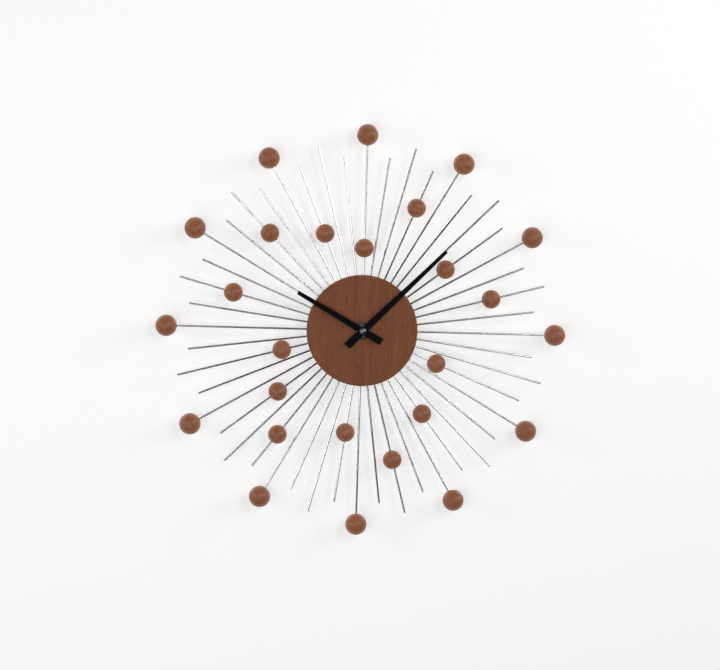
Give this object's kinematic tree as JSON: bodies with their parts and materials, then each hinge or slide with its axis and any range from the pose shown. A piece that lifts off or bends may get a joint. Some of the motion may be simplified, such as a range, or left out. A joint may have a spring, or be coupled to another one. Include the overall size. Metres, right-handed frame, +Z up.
{
  "type": "sunburst wall clock",
  "caption": "Round wall clock with a small wooden dial, fine metal rods radiating to wooden balls, two tapered hands and a battery quartz movement behind.",
  "frame": {"origin": "on the axis of the hands, in the plane of the wall (the back of the movement case)", "axes": "+Z up towards 12 o'clock, +X to the right seen from the front, +Y into the wall; the clock faces -Y"},
  "size_m": [0.5, 0.0412, 0.5],
  "materials": {
    "walnut": "satin oiled walnut with straight grain",
    "polished_steel": "bright drawn rod",
    "zinc_plate": "zinc-plated sheet",
    "hand_black": "satin black enamel on sheet aluminium",
    "nickel": "nickel plate",
    "brass": "turned",
    "rubber": "matt",
    "case_black": "fine spark texture",
    "gear_white": "acetal",
    "bridge_plastic": "moulded",
    "knob_plastic": "moulded red",
    "magnet": "sintered",
    "motor_iron": "annealed iron",
    "spring_steel": "nickel-plated strip",
    "copper": "enamelled copper wire",
    "board_green": "solder mask",
    "crystal_can": "drawn can",
    "epoxy": "potting drop",
    "battery_wrap": "plain shrink wrap"
  },
  "bodies": {
    "frame": {"dial_disc": "walnut", "hour_ball_01": "walnut", "hour_ball_02": "walnut", "hour_ball_03": "walnut", "hour_ball_04": "walnut", "hour_ball_05": "walnut", "hour_ball_06": "walnut", "hour_ball_07": "walnut", "hour_ball_08": "walnut", "hour_ball_09": "walnut", "hour_ball_10": "walnut", "hour_ball_11": "walnut", "hour_ball_12": "walnut", "accent_balls_near": "walnut", "accent_balls_mid": "walnut", "accent_balls_far": "walnut", "spokes_hour": "polished_steel", "spokes_mid": "polished_steel", "spokes_short": "polished_steel", "hub_plate": "zinc_plate", "hanger_bracket": "zinc_plate", "dial_screws": "zinc_plate", "dial_washer": "nickel", "hex_nut": "nickel", "threaded_bushing": "brass", "rubber_washer": "rubber", "movement_rear_case": "case_black", "movement_front_case": "case_black", "gear_bridge": "bridge_plastic", "coil_bobbin": "bridge_plastic", "stator": "motor_iron", "coil_core": "motor_iron", "positive_contact": "spring_steel", "negative_contact": "spring_steel", "coil_winding": "copper", "circuit_board": "board_green", "quartz_crystal": "crystal_can", "chip_blob": "epoxy"},
    "minute": {"minute_arbor": "brass", "clutch_spring": "spring_steel", "minute_hand": "hand_black", "hand_nut": "nickel"},
    "hour": {"hour_wheel": "gear_white", "hour_hand": "hand_black"},
    "setting": {"setting_wheel": "gear_white", "setting_knob": "knob_plastic"},
    "rotor": {"rotor_magnet": "magnet", "rotor_pinion": "gear_white"},
    "fifth": {"fifth_wheel": "gear_white"},
    "second": {"second_wheel": "gear_white"},
    "third": {"third_wheel": "gear_white"},
    "centre": {"centre_wheel": "gear_white"},
    "battery": {"aa_battery": "battery_wrap"}
  },
  "joints": [
    {"name": "minute_turn", "type": "hinge", "parent": "frame", "child": "minute", "pos_m": [0, 0, 0], "axis": [0, 1, 0], "continuous": true},
    {"name": "hour_turn", "type": "hinge", "parent": "frame", "child": "hour", "pos_m": [0, 0, 0], "axis": [0, 1, 0], "continuous": true},
    {"name": "setting_turn", "type": "hinge", "parent": "frame", "child": "setting", "pos_m": [0.00677, 0, -0.00246], "axis": [0, 1, 0], "continuous": true},
    {"name": "rotor_turn", "type": "hinge", "parent": "frame", "child": "rotor", "pos_m": [-0.007, 0, 0.0048], "axis": [0, 1, 0], "continuous": true},
    {"name": "fifth_turn", "type": "hinge", "parent": "frame", "child": "fifth", "pos_m": [-0.007, 0, 0], "axis": [0, 1, 0], "continuous": true},
    {"name": "second_turn", "type": "hinge", "parent": "frame", "child": "second", "pos_m": [0, 0, 0], "axis": [0, 1, 0], "continuous": true},
    {"name": "third_turn", "type": "hinge", "parent": "frame", "child": "third", "pos_m": [0, 0, 0.0068], "axis": [0, 1, 0], "continuous": true},
    {"name": "centre_turn", "type": "hinge", "parent": "frame", "child": "centre", "pos_m": [0, 0, 0], "axis": [0, 1, 0], "continuous": true},
    {"name": "battery_slide", "type": "slide", "parent": "frame", "child": "battery", "axis": [0, 1, 0], "range_m": [0, 0.03]}
  ],
  "couplings": [
    {"joint": "hour_turn", "follows": "minute_turn", "ratio": 0.083333},
    {"joint": "setting_turn", "follows": "minute_turn", "ratio": -0.33333},
    {"joint": "fifth_turn", "follows": "rotor_turn", "ratio": -0.2},
    {"joint": "second_turn", "follows": "rotor_turn", "ratio": 0.033333},
    {"joint": "third_turn", "follows": "rotor_turn", "ratio": -0.0044444},
    {"joint": "centre_turn", "follows": "rotor_turn", "ratio": 0.00055556}
  ]
}
